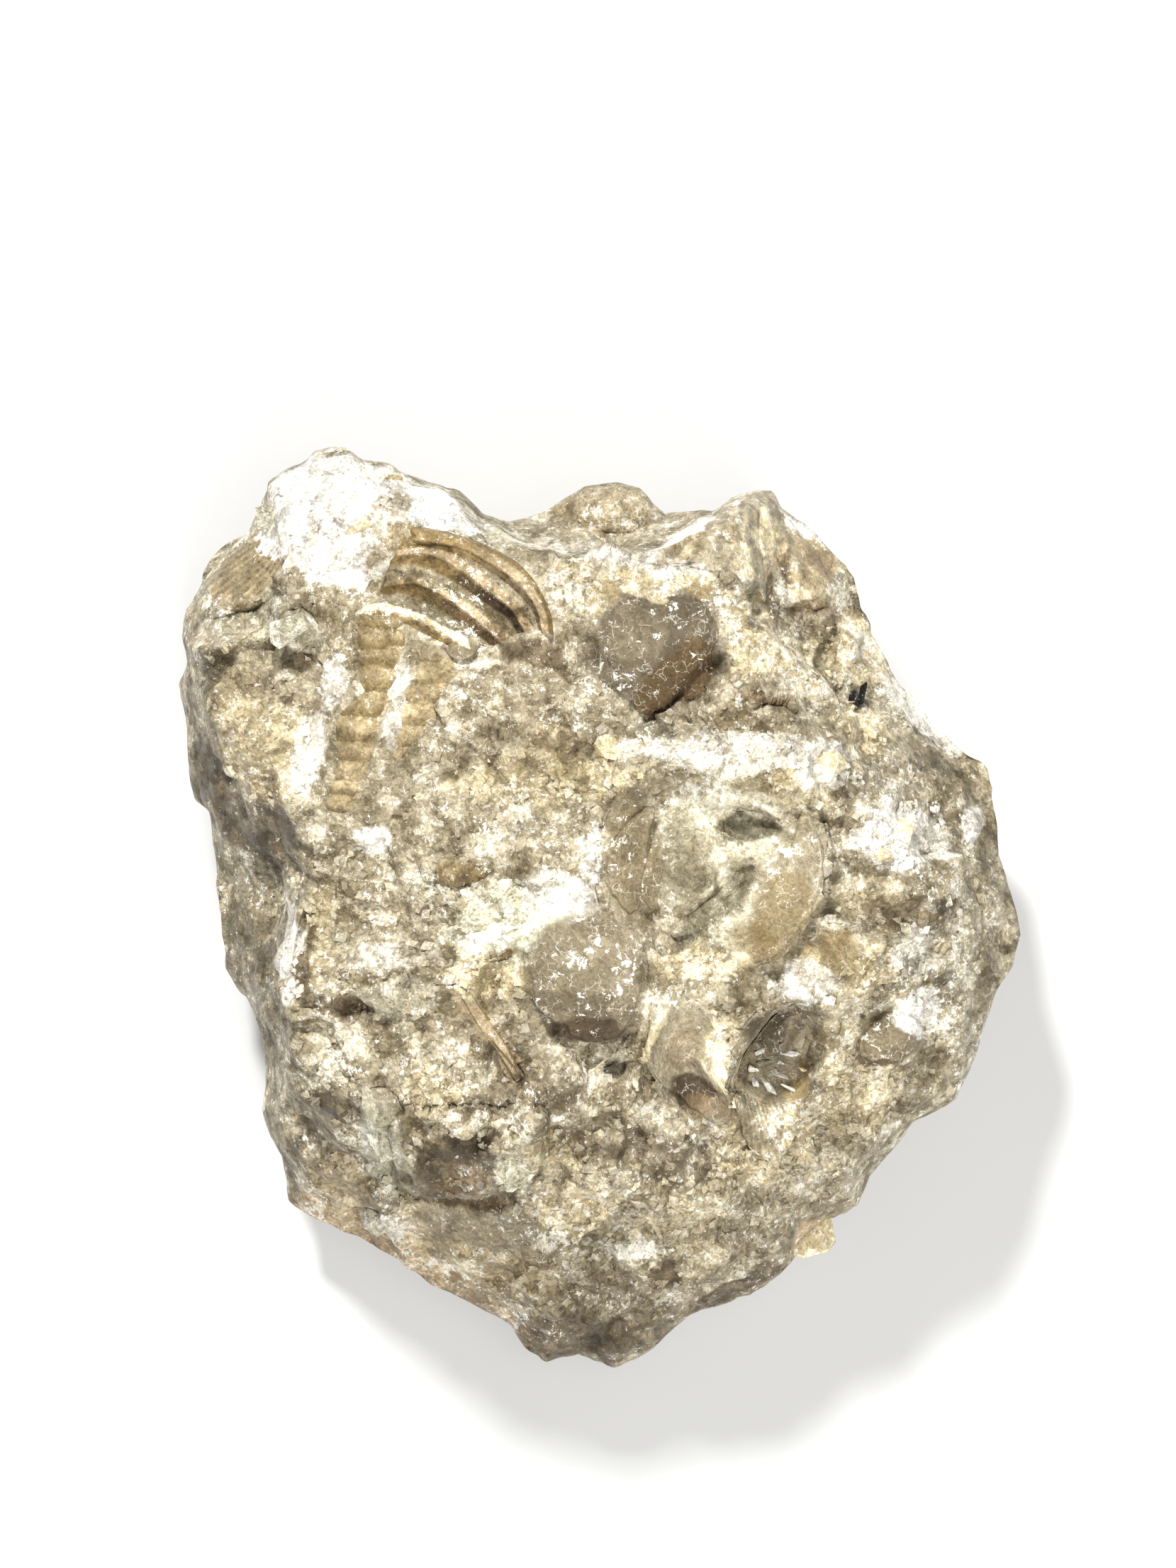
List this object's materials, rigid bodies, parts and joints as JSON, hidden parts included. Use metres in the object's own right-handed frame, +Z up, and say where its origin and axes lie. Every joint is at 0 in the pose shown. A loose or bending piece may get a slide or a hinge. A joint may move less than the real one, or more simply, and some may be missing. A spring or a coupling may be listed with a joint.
{
  "type": "trilobite fossil in limestone",
  "caption": "Loose lump of coarse sparry limestone with the ribs and banded axis of a trilobite and several brachiopod shells standing out of its upper face.",
  "frame": {"origin": "on the flat break that the lump lies on, under the middle of its outline", "axes": "+Z up through the fossil face; +Y towards the end that carries the trilobite and the white spar; +X to the right of the fossil face"},
  "size_m": [0.0763, 0.0855, 0.0425],
  "materials": {
    "limestone": "rough broken limestone, cream to tan, with white glinting spar crystals and smooth grey-brown shell"
  },
  "bodies": {
    "root": {"fossil_rock": "limestone"}
  },
  "joints": []
}
